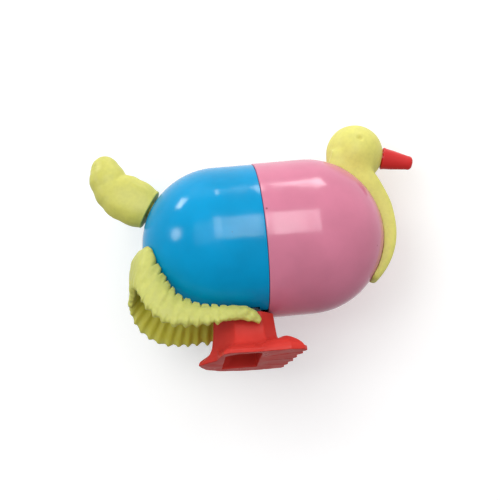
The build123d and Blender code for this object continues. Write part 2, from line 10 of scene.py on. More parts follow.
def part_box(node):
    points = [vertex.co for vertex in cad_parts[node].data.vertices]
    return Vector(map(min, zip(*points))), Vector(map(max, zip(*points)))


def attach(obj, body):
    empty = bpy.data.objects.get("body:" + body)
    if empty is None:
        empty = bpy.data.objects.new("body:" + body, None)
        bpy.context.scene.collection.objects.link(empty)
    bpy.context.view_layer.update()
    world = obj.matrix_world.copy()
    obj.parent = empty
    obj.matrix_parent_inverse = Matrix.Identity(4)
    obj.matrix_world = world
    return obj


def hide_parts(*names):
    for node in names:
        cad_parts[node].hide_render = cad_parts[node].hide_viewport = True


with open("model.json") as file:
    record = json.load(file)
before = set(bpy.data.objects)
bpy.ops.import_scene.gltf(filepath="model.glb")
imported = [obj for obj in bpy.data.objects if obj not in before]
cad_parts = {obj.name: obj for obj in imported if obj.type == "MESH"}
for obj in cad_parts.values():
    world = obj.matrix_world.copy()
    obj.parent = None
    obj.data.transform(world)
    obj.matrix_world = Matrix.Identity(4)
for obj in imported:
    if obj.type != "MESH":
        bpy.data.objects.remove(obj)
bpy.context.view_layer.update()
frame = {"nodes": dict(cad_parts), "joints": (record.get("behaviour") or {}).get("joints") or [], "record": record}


# ------------------------------------------------------------------ places taken from the frame
# Shapes are written in millimetres in the body's own axes: x forward from the seam of the two
# shells, y to the toy's left, z up from the body's axis. to_row() turns them into row metres.

MM = 0.001
BODY_PITCH = radians(1.5)

front_low, front_high = (Vector(corner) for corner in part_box("front_shell"))
rear_low, rear_high = (Vector(corner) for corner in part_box("rear_shell"))
FRONT_R = (front_high.y - front_low.y) / 2 / MM
REAR_R = (rear_high.y - rear_low.y) / 2 / MM
FRONT_END = Vector((front_high.x / MM - FRONT_R, 0, front_high.z / MM - FRONT_R))
SEAM_HEIGHT = FRONT_END.z - tan(BODY_PITCH) * FRONT_END.x
FRONT_STRAIGHT = FRONT_END.x / cos(BODY_PITCH)
REAR_STRAIGHT = -(rear_low.x / MM + REAR_R) / cos(BODY_PITCH)
WALL = 1.4

JOINTS = {joint["name"]: joint for joint in frame["joints"]}


def to_body(point):
    """Row metres to body millimetres."""
    x, y, z = (value / MM for value in point)
    z -= SEAM_HEIGHT
    return Vector((
        x * cos(BODY_PITCH) + z * sin(BODY_PITCH),
        y,
        -x * sin(BODY_PITCH) + z * cos(BODY_PITCH),
    ))


def to_row(points):
    """Body millimetres to row metres, for an array of points."""
    points = np.asarray(points, float)
    x, y, z = points[..., 0], points[..., 1], points[..., 2]
    row = np.stack([
        x * cos(BODY_PITCH) - z * sin(BODY_PITCH),
        y,
        x * sin(BODY_PITCH) + z * cos(BODY_PITCH) + SEAM_HEIGHT,
    ], -1)
    return row * MM


KEY = to_body(JOINTS["key_spin"]["pos_m"])


# ------------------------------------------------------------------ mesh helpers


CREASE = 35             # degrees between two faces beyond which their edge stays sharp
SETTLE_ROUNDS = 3
LEAST_SLOPE = 0.5


def new_piece(name, points, faces, smooth_angle=CREASE):
    """Mesh object from row-frame points in metres, smooth except along sharp creases."""
    mesh = bpy.data.meshes.new(name)
    mesh.from_pydata([tuple(p) for p in np.asarray(points)], [], [list(map(int, f)) for f in faces])
    mesh.validate()
    work = bmesh.new()
    work.from_mesh(mesh)
    bmesh.ops.recalc_face_normals(work, faces=work.faces)
    work.to_mesh(mesh)
    work.free()
    mesh.polygons.foreach_set("use_smooth", [True] * len(mesh.polygons))
    mesh.set_sharp_from_angle(angle=radians(smooth_angle))
    mesh.update()
    piece = bpy.data.objects.new(name, mesh)
    bpy.context.scene.collection.objects.link(piece)
    return piece


def surface_net(field, low, high, step):
    """Quad mesh of the zero surface of a signed distance field, by surface nets."""
    axes = [np.arange(a - step, b + 2 * step, step) for a, b in zip(low, high)]
    grid = np.stack(np.meshgrid(*axes, indexing="ij"), -1)
    value = field(grid)
    inside = value < 0
    cells = tuple(n - 1 for n in value.shape)
    count = np.zeros(cells, int)
    offsets = [(i, j, k) for i in (0, 1) for j in (0, 1) for k in (0, 1)]

    def corner(array, offset):
        return array[tuple(slice(o, o + n) for o, n in zip(offset, cells))]

    for offset in offsets:
        count += corner(inside, offset)
    active = (count > 0) & (count < 8)
    index = np.full(cells, -1)
    index[active] = np.arange(active.sum())
    total = np.zeros((active.sum(), 3))
    crossings = np.zeros(active.sum())
    for axis in range(3):
        for first in offsets:
            if first[axis]:
                continue
            second = tuple(o + (n == axis) for n, o in enumerate(first))
            a, b = corner(value, first)[active], corner(value, second)[active]
            crossed = (a < 0) != (b < 0)
            share = np.where(crossed, a / np.where(crossed, a - b, 1), 0)
            place = np.tile(np.array(first, float), (len(a), 1))
            place[:, axis] += share
            total[crossed] += place[crossed]
            crossings += crossed
    cell_corner = np.argwhere(active)
    start = np.array([a[0] for a in axes])
    points = start + (cell_corner + total / crossings[:, None]) * step
    faces = []
    for axis in range(3):
        u, v = (axis + 1) % 3, (axis + 2) % 3
        lower = inside.take(range(value.shape[axis] - 1), axis)
        upper = inside.take(range(1, value.shape[axis]), axis)
        edges = np.argwhere(lower != upper)
        edges = edges[(edges[:, u] > 0) & (edges[:, v] > 0)]
        edges = edges[(edges[:, u] < cells[u]) & (edges[:, v] < cells[v])]
        ring = []
        for du, dv in ((1, 1), (0, 1), (0, 0), (1, 0)):
            cell = edges.copy()
            cell[:, u] -= du
            cell[:, v] -= dv
            ring.append(index[tuple(cell.T)])
        quads = np.stack(ring, -1)
        flip = lower[tuple(edges.T)]
        quads[~flip] = quads[~flip][:, ::-1]
        faces.append(quads)
    return settle(field, points, step), np.concatenate(faces)


def settle(field, points, step):
    """Pull surface points onto the exact zero surface."""
    reach = step / 4
    for _ in range(SETTLE_ROUNDS):
        value = field(points)
        slope = np.stack([
            field(points + np.eye(3)[axis] * reach) - field(points - np.eye(3)[axis] * reach)
            for axis in range(3)
        ], -1) / (2 * reach)
        size = np.maximum((slope**2).sum(-1), LEAST_SLOPE**2)
        move = slope * (value / size)[:, None]
        points = points - np.clip(move, -step / 2, step / 2)
    return points


def field_piece(name, field, low, high, step, place=to_row, smooth_angle=50):
    """Piece from a signed distance field in millimetres."""
    step = step
    points, faces = surface_net(field, low, high, step)
    return new_piece(name, place(points), faces, smooth_angle)


# ------------------------------------------------------------------ signed distances, millimetres

FAR_AWAY = 1e9
NOISE_WAVES = 6


def length(array):
    return np.sqrt((array**2).sum(-1))


def smooth_min(a, b, blend):
    """Union with a fillet of about the blend radius."""
    h = np.clip(0.5 + 0.5 * (b - a) / blend, 0, 1)
    return b + (a - b) * h - blend * h * (1 - h)


def smooth_max(a, b, blend):
    return -smooth_min(-a, -b, blend)


def ball(p, centre, radius):
    return length(p - np.asarray(centre, float)) - radius


def round_cone(p, a, b, ra, rb):
    """Tapered rod with round ends."""
    a, b = np.asarray(a, float), np.asarray(b, float)
    axis = b - a
    along = np.clip(((p - a) @ axis) / (axis @ axis), 0, 1)
    return length(p - a - along[..., None] * axis) - (ra + (rb - ra) * along)


def capsule(p, grow):
    """Outside of the two shells."""
    x = p[..., 0]
    nearest = np.clip(x, -REAR_STRAIGHT, FRONT_STRAIGHT)
    radius = np.where(x < 0, REAR_R, FRONT_R)
    offset = np.stack([x - nearest, p[..., 1], p[..., 2]], -1)
    return length(offset) - radius - grow


def smooth_noise(p, scale, seed):
    """Gentle lumps: a few sine waves in fixed seeded directions."""
    rng = np.random.default_rng(seed)
    total = np.zeros(p.shape[:-1])
    for _ in range(NOISE_WAVES):
        direction = rng.normal(size=3)
        direction *= 2 * pi / scale / np.linalg.norm(direction)
        total += np.sin(p @ direction + rng.uniform(0, 2 * pi))
    return total / NOISE_WAVES


def polygon_distance(p, corners):
    """Signed distance in the XY plane to a closed outline, negative inside."""
    x, y = p[..., 0], p[..., 1]
    nearest = np.full(x.shape, FAR_AWAY)
    inside = np.zeros(x.shape, bool)
    for (ax, ay), (bx, by) in zip(corners, corners[1:] + corners[:1]):
        ex, ey = bx - ax, by - ay
        along = np.clip(((x - ax) * ex + (y - ay) * ey) / (ex * ex + ey * ey), 0, 1)
        nearest = np.minimum(nearest, (x - ax - along * ex)**2 + (y - ay - along * ey)**2)
        if ay != by:
            crosses = ((ay > y) != (by > y)) & (x < ax + (y - ay) * ex / ey)
            inside ^= crosses
    return np.where(inside, -1, 1) * np.sqrt(nearest)


# ------------------------------------------------------------------ materials


def noise(nodes, links, coords, scale, detail, roughness=0.5):
    node = nodes.new("ShaderNodeTexNoise")
    node.inputs["Scale"].default_value = scale
    node.inputs["Detail"].default_value = detail
    node.inputs["Roughness"].default_value = roughness
    links.new(coords.outputs["Object"], node.inputs["Vector"])
    return node.outputs["Fac"]


def ramp(nodes, links, value, low, high, start=0.35, stop=0.65):
    """Grey or colour ramp over a stretch of a value."""
    node = nodes.new("ShaderNodeValToRGB")
    first, last = node.color_ramp.elements
    first.position, last.position = start, stop
    first.color = (*low, 1) if isinstance(low, tuple) else (low, low, low, 1)
    last.color = (*high, 1) if isinstance(high, tuple) else (high, high, high, 1)
    links.new(value, node.inputs["Fac"])
    return node.outputs["Color"]


def mix(nodes, links, kind, factor, a, b):
    node = nodes.new("ShaderNodeMix")
    node.data_type = "RGBA"
    node.blend_type = kind
    for socket, value in (("Factor", factor), ("A", a), ("B", b)):
        target = [s for s in node.inputs if s.name == socket and s.enabled][0]
        if hasattr(value, "links"):
            links.new(value, target)
        elif isinstance(value, tuple):
            target.default_value = (*value, 1)
        else:
            target.default_value = value
    return [s for s in node.outputs if s.enabled][0]


def bump(nodes, links, height, strength, distance, below=None):
    node = nodes.new("ShaderNodeBump")
    node.inputs["Strength"].default_value = strength
    node.inputs["Distance"].default_value = distance
    links.new(height, node.inputs["Height"])
    if below is not None:
        links.new(below, node.inputs["Normal"])
    return node.outputs["Normal"]


def scaled(color, factor):
    return tuple(min(1.0, channel * factor) for channel in color)


def blank(name):
    material = bpy.data.materials.new(name)
    material.use_nodes = True
    nodes, links = material.node_tree.nodes, material.node_tree.links
    shader = nodes["Principled BSDF"]
    coords = nodes.new("ShaderNodeTexCoord")
    return material, nodes, links, shader, coords


def gloss_plastic(name, color, mottle=0.07, rough=(0.10, 0.22), specks=None, gloss=0.16):
    """Injection-moulded gloss plastic: faint mottling, handling haze, fine scratches, specks."""
    material, nodes, links, shader, coords = blank(name)
    clouds = noise(nodes, links, coords, scale=90, detail=4)
    tint = ramp(nodes, links, clouds, scaled(color, 1 - mottle), scaled(color, 1 + mottle))
    if specks:
        cells = nodes.new("ShaderNodeTexVoronoi")
        cells.inputs["Scale"].default_value = 170
        cells.inputs["Randomness"].default_value = 1.0
        links.new(coords.outputs["Object"], cells.inputs["Vector"])
        dots = ramp(nodes, links, cells.outputs["Distance"], 1.0, 0.0, start=0.045, stop=0.075)
        patches = noise(nodes, links, coords, scale=60, detail=1)
        rare = ramp(nodes, links, patches, 0.0, 1.0, start=0.60, stop=0.63)
        both = mix(nodes, links, "MULTIPLY", 1.0, dots, rare)
        tint = mix(nodes, links, "MIX", both, tint, specks)
    links.new(tint, shader.inputs["Base Color"])
    haze = noise(nodes, links, coords, scale=160, detail=5, roughness=0.6)
    links.new(ramp(nodes, links, haze, rough[0], rough[1]), shader.inputs["Roughness"])
    # Fine scratches run as stretched noise; slow waviness is the moulding's own
    stretch = nodes.new("ShaderNodeMapping")
    stretch.inputs["Scale"].default_value = (0.25, 1.0, 2.6)
    stretch.inputs["Rotation"].default_value = (0.3, 0.5, 0.2)
    links.new(coords.outputs["Object"], stretch.inputs["Vector"])
    scratch = nodes.new("ShaderNodeTexNoise")
    scratch.inputs["Scale"].default_value = 900
    scratch.inputs["Detail"].default_value = 2
    links.new(stretch.outputs["Vector"], scratch.inputs["Vector"])
    fine = bump(nodes, links, scratch.outputs["Fac"], strength=0.05, distance=0.0001)
    waves = noise(nodes, links, coords, scale=120, detail=1)
    wavy = bump(nodes, links, waves, strength=0.10, distance=0.0004, below=fine)
    links.new(wavy, shader.inputs["Normal"])
    shader.inputs["Specular IOR Level"].default_value = gloss
    shader.inputs["Subsurface Weight"].default_value = 0.08
    shader.inputs["Subsurface Radius"].default_value = (0.0015, 0.001, 0.001)
    return material


# Painted shade: the vinyl's hollows and creases are tinted toward its shade colour, standing in for the shade that
# falls there
HOLLOW_SHADE = 0.55     # how far the hollows of the vinyl turn to its shade colour


def soft_vinyl(name, color, shade, inner_shade=None):
    """Soft pale vinyl: slightly translucent, satin, with painted shade in its hollows and creases.

    inner_shade, where given, is a painted shade colour for the faces that the mesh marks as inside.
    """
    material, nodes, links, shader, coords = blank(name)
    clouds = noise(nodes, links, coords, scale=110, detail=5, roughness=0.6)
    tint = ramp(nodes, links, clouds, scaled(color, 0.90), scaled(color, 1.06), start=0.3, stop=0.7)
    fine = noise(nodes, links, coords, scale=900, detail=3)
    mottling = ramp(nodes, links, fine, 0.88, 1.0, start=0.3, stop=0.6)
    tint = mix(nodes, links, "MULTIPLY", 0.5, tint, mottling)
    geometry = nodes.new("ShaderNodeNewGeometry")
    # Painted shade: low pointiness (hollows, creases) mixes the colour toward the shade colour
    hollow = ramp(nodes, links, geometry.outputs["Pointiness"], 1.0, 0.0, start=0.42, stop=0.50)
    painted_hollow_shade = mix(nodes, links, "MULTIPLY", 1.0, hollow, (HOLLOW_SHADE, HOLLOW_SHADE, HOLLOW_SHADE))
    tint = mix(nodes, links, "MIX", painted_hollow_shade, tint, shade)
    # Painted shade on the inner faces, which lie in shade between the skirt's two arms
    if inner_shade:
        inside = nodes.new("ShaderNodeAttribute")
        inside.attribute_name = "inside"
        tint = mix(nodes, links, "MIX", inside.outputs["Fac"], tint, inner_shade)
    links.new(tint, shader.inputs["Base Color"])
    links.new(ramp(nodes, links, clouds, 0.38, 0.56), shader.inputs["Roughness"])
    grain = bump(nodes, links, fine, strength=0.18, distance=0.00012)
    swells = noise(nodes, links, coords, scale=260, detail=3)
    lumps = bump(nodes, links, swells, strength=0.22, distance=0.0004, below=grain)
    links.new(lumps, shader.inputs["Normal"])
    shader.inputs["Subsurface Weight"].default_value = 0.35
    shader.inputs["Subsurface Radius"].default_value = (0.0024, 0.0020, 0.0007)
    shader.inputs["Specular IOR Level"].default_value = 0.12
    return material


DRAWN_GRAIN = (1.0, 12.0, 1.0)


def worked_metal(name, color, rough=(0.24, 0.42)):
    """Stained metal with a drawn grain."""
    material, nodes, links, shader, coords = blank(name)
    stain = noise(nodes, links, coords, scale=220, detail=5, roughness=0.6)
    stained = ramp(nodes, links, stain, scaled(color, 0.72), scaled(color, 1.1))
    links.new(stained, shader.inputs["Base Color"])
    stretch = nodes.new("ShaderNodeMapping")
    stretch.inputs["Scale"].default_value = DRAWN_GRAIN
    links.new(coords.outputs["Object"], stretch.inputs["Vector"])
    lines = nodes.new("ShaderNodeTexNoise")
    lines.inputs["Scale"].default_value = 500
    lines.inputs["Detail"].default_value = 4
    links.new(stretch.outputs["Vector"], lines.inputs["Vector"])
    links.new(ramp(nodes, links, lines.outputs["Fac"], rough[0], rough[1]), shader.inputs["Roughness"])
    drawn = bump(nodes, links, lines.outputs["Fac"], strength=0.15, distance=0.0001)
    links.new(drawn, shader.inputs["Normal"])
    shader.inputs["Metallic"].default_value = 1.0
    return material


BLUE = gloss_plastic("blue_plastic", (0.0, 0.285, 0.565), specks=(0.0, 0.13, 0.30), gloss=0.10)
PINK = gloss_plastic("pink_plastic", (0.62, 0.20, 0.30), mottle=0.05, specks=(0.24, 0.05, 0.08))
RED = gloss_plastic("red_plastic", (0.60, 0.04, 0.03), mottle=0.10, rough=(0.26, 0.44), gloss=0.045)
RED_BEAK = gloss_plastic("red_plastic_beak", (0.64, 0.028, 0.028), rough=(0.12, 0.22), gloss=0.18)
# The second colour of each vinyl is the painted shade for its hollows
VINYL_HEAD = soft_vinyl("yellow_vinyl_head", (0.70, 0.665, 0.17), (0.44, 0.36, 0.05))
VINYL_TAIL = soft_vinyl("yellow_vinyl_tail", (0.62, 0.60, 0.14), (0.36, 0.35, 0.04))
# The frill's third colour is the painted shade of its inner faces
VINYL_FRILL = soft_vinyl("yellow_vinyl_frill", (0.55, 0.56, 0.145), (0.30, 0.30, 0.04), (0.50, 0.46, 0.045))
STEEL = worked_metal("steel", (0.34, 0.34, 0.35), (0.40, 0.58))
# Near-black steel for the leg lever: painted shade that keeps the lever dark in the slot under the shell
SHADE_DARK_STEEL = worked_metal("steel_darkened_as_shade", (0.022, 0.022, 0.026), (0.5, 0.68))
SPRING = worked_metal("spring_steel", (0.16, 0.18, 0.24), (0.2, 0.35))
BRASS = worked_metal("brass", (0.62, 0.45, 0.18))
NYLON = gloss_plastic("nylon", (0.72, 0.70, 0.64), rough=(0.35, 0.5), gloss=0.3)

CARRIED = {"steel": STEEL, "spring_steel": SPRING, "brass": BRASS, "nylon": NYLON, "red_plastic": RED}


def dress(piece, body, nodes, material):
    """Finish a new piece: its material, the body it rides and the nodes it stands for."""
    piece.data.materials.clear()
    piece.data.materials.append(material)
    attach(piece, body)
    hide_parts(*nodes)


def dress_carried_nodes():
    slots = {part["node"]: part["material_slot"] for part in frame["record"]["subparts"]}
    for name, node in frame["nodes"].items():
        # The leg lever wears the near-black steel as painted shade in the ankle slot
        material = SHADE_DARK_STEEL if name == "leg_lever" else CARRIED.get(slots[name])
        if material:
            node.data.materials.clear()
            node.data.materials.append(material)


# ------------------------------------------------------------------ body shells


def arc(centre, radius, start, stop, count):
    """Points (x, r) on an arc, angles in degrees from the x axis."""
    turns = [radians(start + (stop - start) * i / count) for i in range(count + 1)]
    return [(centre[0] + radius * cos(t), centre[1] + radius * sin(t)) for t in turns]


def lathe(name, profile, segments, place=to_row):
    """Closed turned body about the x axis from a closed loop of (x, r) points."""
    points = []
    rings = []
    for x, r in profile:
        if abs(r) < 1e-6:
            rings.append([len(points)] * segments)
            points.append((x, 0, 0))
            continue
        rings.append(list(range(len(points), len(points) + segments)))
        for i in range(segments):
            turn = 2 * pi * i / segments
            points.append((x, r * cos(turn), r * sin(turn)))
    faces = []
    for a, b in zip(rings, rings[1:] + rings[:1]):
        for i in range(segments):
            j = (i + 1) % segments
            face = [a[i], b[i], b[j], a[j]]
            unique = list(dict.fromkeys(face))
            if len(unique) > 2:
                faces.append(unique)
    return new_piece(name, place(points), faces)


def cut(piece, cutters):
    """Cut pieces out of a piece, and drop them."""
    for cutter in cutters:
        modifier = piece.modifiers.new("cut", "BOOLEAN")
        modifier.operation = "DIFFERENCE"
        modifier.solver = "EXACT"
        modifier.object = cutter
    bpy.context.view_layer.update()
    shape = piece.evaluated_get(bpy.context.evaluated_depsgraph_get())
    mesh = bpy.data.meshes.new_from_object(shape)
    piece.modifiers.clear()
    piece.data = mesh
    mesh.polygons.foreach_set("use_smooth", [True] * len(mesh.polygons))
    mesh.set_sharp_from_angle(angle=radians(CREASE))
    for cutter in cutters:
        bpy.data.objects.remove(cutter)


def rounded_slot(low_x, high_x, half_width, low_z, high_z, corner):
    """Cutter for the ankle slot: rear corners rounded, narrower at the seam."""
    step = -SLOT_MOUTH_LENGTH
    outline = [(step, -half_width), (step, -SLOT_MOUTH), (high_x, -SLOT_MOUTH)]
    outline += [(high_x, SLOT_MOUTH), (step, SLOT_MOUTH), (step, half_width)]
    outline += arc((low_x + corner, half_width - corner), corner, 90, 180, 8)
    outline += arc((low_x + corner, -half_width + corner), corner, 180, 270, 8)
    count = len(outline)
    points = [(x, y, low_z) for x, y in outline] + [(x, y, high_z) for x, y in outline]
    faces = [list(range(count)), list(range(2 * count - 1, count - 1, -1))]
    faces += [[i, i + count, (i + 1) % count + count, (i + 1) % count] for i in range(count)]
    return new_piece("slot_cutter", to_row(points), faces)


def bar(name, centre, direction, radius, half_length):
    """Round cutter along any direction, in body millimetres."""
    turn = Vector((1, 0, 0)).rotation_difference(Vector(direction)).to_matrix()
    corners = [(-half_length, 0), (-half_length, radius), (half_length, radius), (half_length, 0)]

    def place(points):
        return to_row(np.asarray(points) @ np.array(turn).T + np.asarray(centre))

    return lathe(name, corners, HOLE_SEGMENTS, place)


SEGMENTS = 192
HOLE_SEGMENTS = 48
RIM_ROUND = 0.22
LIP_OUTER = FRONT_R - WALL - 0.05
LIP_INNER = LIP_OUTER - 1.2
LIP_END = 4.0
LIP_LEAD, LIP_RELIEF = 0.4, 0.2
SEAM_GAP = 0.1
SLOT_REAR = 17.0
SLOT_HALF_WIDTH = 6.7
SLOT_MOUTH = 5.0
SLOT_MOUTH_LENGTH = 2.4
SLOT_CORNER = 3.0
KEY_HOLE_RADIUS = 1.8
TAIL_ROOT_ANGLE = radians(146.5)
TAIL_PEG_RADIUS = 2.2
RUMP = (-REAR_STRAIGHT, 0.0)
BREAST = (FRONT_STRAIGHT, 0.0)


def make_rear_shell():
    dome = SEGMENTS // 4
    profile = arc((-RIM_ROUND, REAR_R - RIM_ROUND), RIM_ROUND, 0, 90, 5)
    profile += [(-REAR_STRAIGHT * share, REAR_R) for share in (0.25, 0.5, 0.75)]
    profile += arc(RUMP, REAR_R, 90, 180, dome)[:-1] + [(-REAR_STRAIGHT - REAR_R, 0)]
    profile += [(-REAR_STRAIGHT - REAR_R + WALL, 0)]
    profile += arc(RUMP, REAR_R - WALL, 180, 90, dome // 2)[1:]
    profile += [(-LIP_END, REAR_R - WALL), (-LIP_END, LIP_INNER), (LIP_END, LIP_INNER)]
    profile += [(LIP_END, LIP_OUTER - LIP_RELIEF), (LIP_END - LIP_LEAD, LIP_OUTER), (0, LIP_OUTER)]
    shell = lathe("rear_body_shell", profile, SEGMENTS)
    slot = rounded_slot(-SLOT_REAR, LIP_END + 1, SLOT_HALF_WIDTH, -REAR_R - 2, -REAR_R + 8, SLOT_CORNER)
    key_hole = bar("key_cutter", (KEY.x, REAR_R, KEY.z), (0, 1, 0), KEY_HOLE_RADIUS, half_length=4)
    out = (cos(TAIL_ROOT_ANGLE), 0, sin(TAIL_ROOT_ANGLE))
    root = (RUMP[0] + REAR_R * out[0], 0, REAR_R * out[2])
    tail_hole = bar("tail_cutter", root, out, TAIL_PEG_RADIUS, half_length=3)
    cut(shell, [slot, key_hole, tail_hole])
    dress(shell, "body", ["rear_shell"], BLUE)


def make_front_shell():
    dome = SEGMENTS // 4
    profile = arc((SEAM_GAP + RIM_ROUND, FRONT_R - RIM_ROUND), RIM_ROUND, 180, 90, 5)
    profile += [(FRONT_STRAIGHT * share, FRONT_R) for share in (0.25, 0.5, 0.75)]
    profile += arc(BREAST, FRONT_R, 90, 0, dome)[:-1] + [(FRONT_STRAIGHT + FRONT_R, 0)]
    profile += [(FRONT_STRAIGHT + FRONT_R - WALL, 0)]
    profile += arc(BREAST, FRONT_R - WALL, 0, 90, dome // 2)[1:]
    profile += [(SEAM_GAP, FRONT_R - WALL)]
    shell = lathe("front_body_shell", profile, SEGMENTS)
    dress(shell, "body", ["front_shell"], PINK)


# ------------------------------------------------------------------ head, neck and beak

HEAD = (30.2, 0.0, 22.9)
HEAD_R = 7.9
BEAK_TURN = radians(-15.6)
BEAK_SEGMENTS = 64
# Neck strap round the breast: angle in degrees, height above the shell, half width
STRAP = (
    (-41, 1.4, 3.0), (-30, 2.3, 3.4), (-12, 3.3, 3.7), (10, 3.9, 3.9), (28, 4.4, 4.4),
    (42, 5.0, 5.2), (58, 4.0, 6.0), (66.5, 3.4, 6.0),
)
STRAP_ROUND, STRAP_END_ROUND = 1.6, 1.2
NECK_BLEND = 1.6
EYE = (HEAD[0] + 0.7, HEAD[2] + 1.9)
EYE_RADIUS, EYE_DEPTH = 1.15, 0.5


def head_field(p):
    """Round head melting into a strap that hugs the front shell."""
    dx, dz = p[..., 0] - BREAST[0], p[..., 2]
    angle = np.degrees(np.arctan2(dz, dx))
    radius = np.sqrt(dx**2 + dz**2)
    table = np.array(STRAP)
    height = np.interp(angle, table[:, 0], table[:, 1])
    half = np.interp(angle, table[:, 0], table[:, 2])
    low_end = np.radians(table[0, 0] - angle) * radius
    high_end = np.radians(angle - table[-1, 0]) * radius
    side = np.abs(p[..., 1])
    strap = smooth_max(radius - FRONT_R - height, side - half, STRAP_ROUND)
    strap = smooth_max(strap, low_end, STRAP_END_ROUND)
    strap = np.maximum(strap, high_end)
    head = ball(p, HEAD, HEAD_R)
    solid = smooth_min(head, strap, NECK_BLEND)
    solid += 0.05 * smooth_noise(p, scale=5.0, seed=11)
    for cheek in (-1, 1):
        out = np.sqrt(HEAD_R**2 - (EYE[0] - HEAD[0])**2 - (EYE[1] - HEAD[2])**2)
        centre = (EYE[0], cheek * (out + EYE_RADIUS - EYE_DEPTH), EYE[1])
        solid = smooth_max(solid, -ball(p, centre, EYE_RADIUS), 0.3)
    return smooth_max(solid, -capsule(p, 0.05), 0.2)


def make_head():
    low, high = (20.5, -8.8, -16.5), (40.0, 8.8, 31.6)
    piece = field_piece("head_and_neck_strap", head_field, low, high, step=0.26)
    dress(piece, "body", ["head_and_neck"], VINYL_HEAD)


def make_beak():
    """Blunt tapered beak with a rolled collar where it meets the face."""
    base, tip, reach = 3.1, 1.85, 16.45
    collar_round, tip_round = 0.35, 1.15
    start = HEAD_R - 0.6
    profile = [(start - 1.5, 0), (start - 1.5, base - 0.75), (start + 0.38, base - 0.75)]
    profile += arc((start + 0.73, base - collar_round), collar_round, 180, 60, 6)
    profile += [(start + 1.5, base - 0.2), (start + 3.4, base - 0.42), (reach - 1.6, tip + 0.12)]
    profile += arc((reach - tip_round, tip - 1.05), tip_round, 80, 12, 8)
    profile += [(reach, 0.25), (reach + 0.01, 0)]

    def place(points):
        points = np.asarray(points)
        x = HEAD[0] + points[:, 0] * cos(BEAK_TURN) - points[:, 2] * sin(BEAK_TURN)
        z = HEAD[2] + points[:, 0] * sin(BEAK_TURN) + points[:, 2] * cos(BEAK_TURN)
        return to_row(np.stack([x, points[:, 1], z], -1))

    piece = lathe("beak_peg", profile, BEAK_SEGMENTS, place)
    dress(piece, "body", ["beak"], RED_BEAK)


# ------------------------------------------------------------------ tail

# Centre line (x, z) and radius, from the shell up to the tip
TAIL = (
    (-28.9, 11.9, 5.6), (-31.9, 13.8, 6.3), (-35.1, 15.9, 6.3), (-37.9, 17.7, 4.9),
    (-39.0, 21.3, 5.0), (-39.4, 24.0, 3.9), (-39.3, 25.9, 2.3),
)
TAIL_WIDTH = 0.92
TAIL_FLAT = 4.7
TAIL_WALL = 1.8
TAIL_HOLLOW = 3.6
TAIL_SEAT = 0.35
PEG_PLAY, PEG_MIDDLE, PEG_HALF = 0.05, 1.5, 4.5


def tail_field(p):
    squeezed = p / np.array([1, TAIL_WIDTH, 1])
    outside = np.full(p.shape[:-1], FAR_AWAY)
    for (ax, az, ar), (bx, bz, br) in zip(TAIL, TAIL[1:]):
        outside = smooth_min(outside, round_cone(squeezed, (ax, 0, az), (bx, 0, bz), ar, br), 0.5)
    outside = outside * TAIL_WIDTH + 0.10 * smooth_noise(p, scale=4.0, seed=5)
    out = np.array([cos(TAIL_ROOT_ANGLE), 0, sin(TAIL_ROOT_ANGLE)])
    lift = (p - np.array([RUMP[0], 0, 0])) @ out - REAR_R
    outside = smooth_max(outside, np.abs(p[..., 1]) - TAIL_FLAT, 1.6)
    outside = smooth_max(outside, TAIL_SEAT - lift, 0.3)
    hollow = np.maximum(outside + TAIL_WALL, lift - TAIL_HOLLOW)
    body = smooth_max(outside, -hollow, 0.4)
    across = length(p - np.array([RUMP[0], 0, 0]) - (lift + REAR_R)[..., None] * out)
    peg = np.maximum(across - TAIL_PEG_RADIUS + PEG_PLAY, np.abs(lift - PEG_MIDDLE) - PEG_HALF)
    return smooth_min(body, peg, 0.4)


def make_tail():
    low, high = (-45.5, -6.5, 6.0), (-24.5, 6.5, 29.0)
    piece = field_piece("tail_curl", tail_field, low, high, step=0.24)
    dress(piece, "body", ["tail"], VINYL_TAIL)


# ------------------------------------------------------------------ feather frill

# Edge on the shell, free edge (both x, |y|, z), and thickness, from the ankle to the rump.
# The two arms differ where the soft skirt has set in an uneven curl.
FRILL_FRONT = (
    ((-2.9, 9.5, -23.9), (-3.5, 9.7, -24.9), 0.9),
    ((-3.4, 9.5, -22.5), (-4.7, 9.9, -24.7), 1.5),
    ((-4.5, 9.5, -21.3), (-6.2, 10.2, -24.3), 2.0),
    ((-6.6, 9.6, -20.4), (-8.0, 10.6, -23.9), 2.4),
    ((-10.4, 9.7, -19.9), (-10.6, 11.0, -24.0), 2.6),
    ((-15.5, 9.7, -19.5), (-16.0, 11.5, -24.6), 2.9),
    ((-20.3, 9.5, -18.0), (-22.0, 11.8, -24.6), 3.1),
)
FRILL_NEAR = (
    ((-24.0, 9.2, -15.2), (-27.6, 11.7, -23.3), 3.2),
    ((-26.4, 9.1, -11.0), (-32.2, 11.2, -18.9), 3.3),
    ((-28.1, 9.3, -6.4), (-33.4, 9.6, -14.8), 3.2),
    ((-28.9, 9.2, -2.0), (-33.5, 7.2, -12.4), 3.0),
    ((-30.9, 4.4, -0.9), (-33.8, 3.4, -11.2), 3.1),
)
FRILL_FAR = (
    ((-24.4, 9.3, -13.9), (-28.6, 12.2, -23.3), 3.2),
    ((-26.8, 9.2, -9.7), (-33.8, 11.8, -19.4), 3.3),
    ((-28.5, 9.2, -5.4), (-35.8, 10.2, -14.6), 3.2),
    ((-29.3, 8.8, -1.9), (-34.9, 7.2, -12.4), 3.0),
    ((-30.9, 4.4, -0.9), (-34.2, 3.4, -11.3), 3.1),
)
FRILL_RUMP = ((-31.4, 0.0, -0.7), (-34.0, 0.0, -10.9), 3.1)


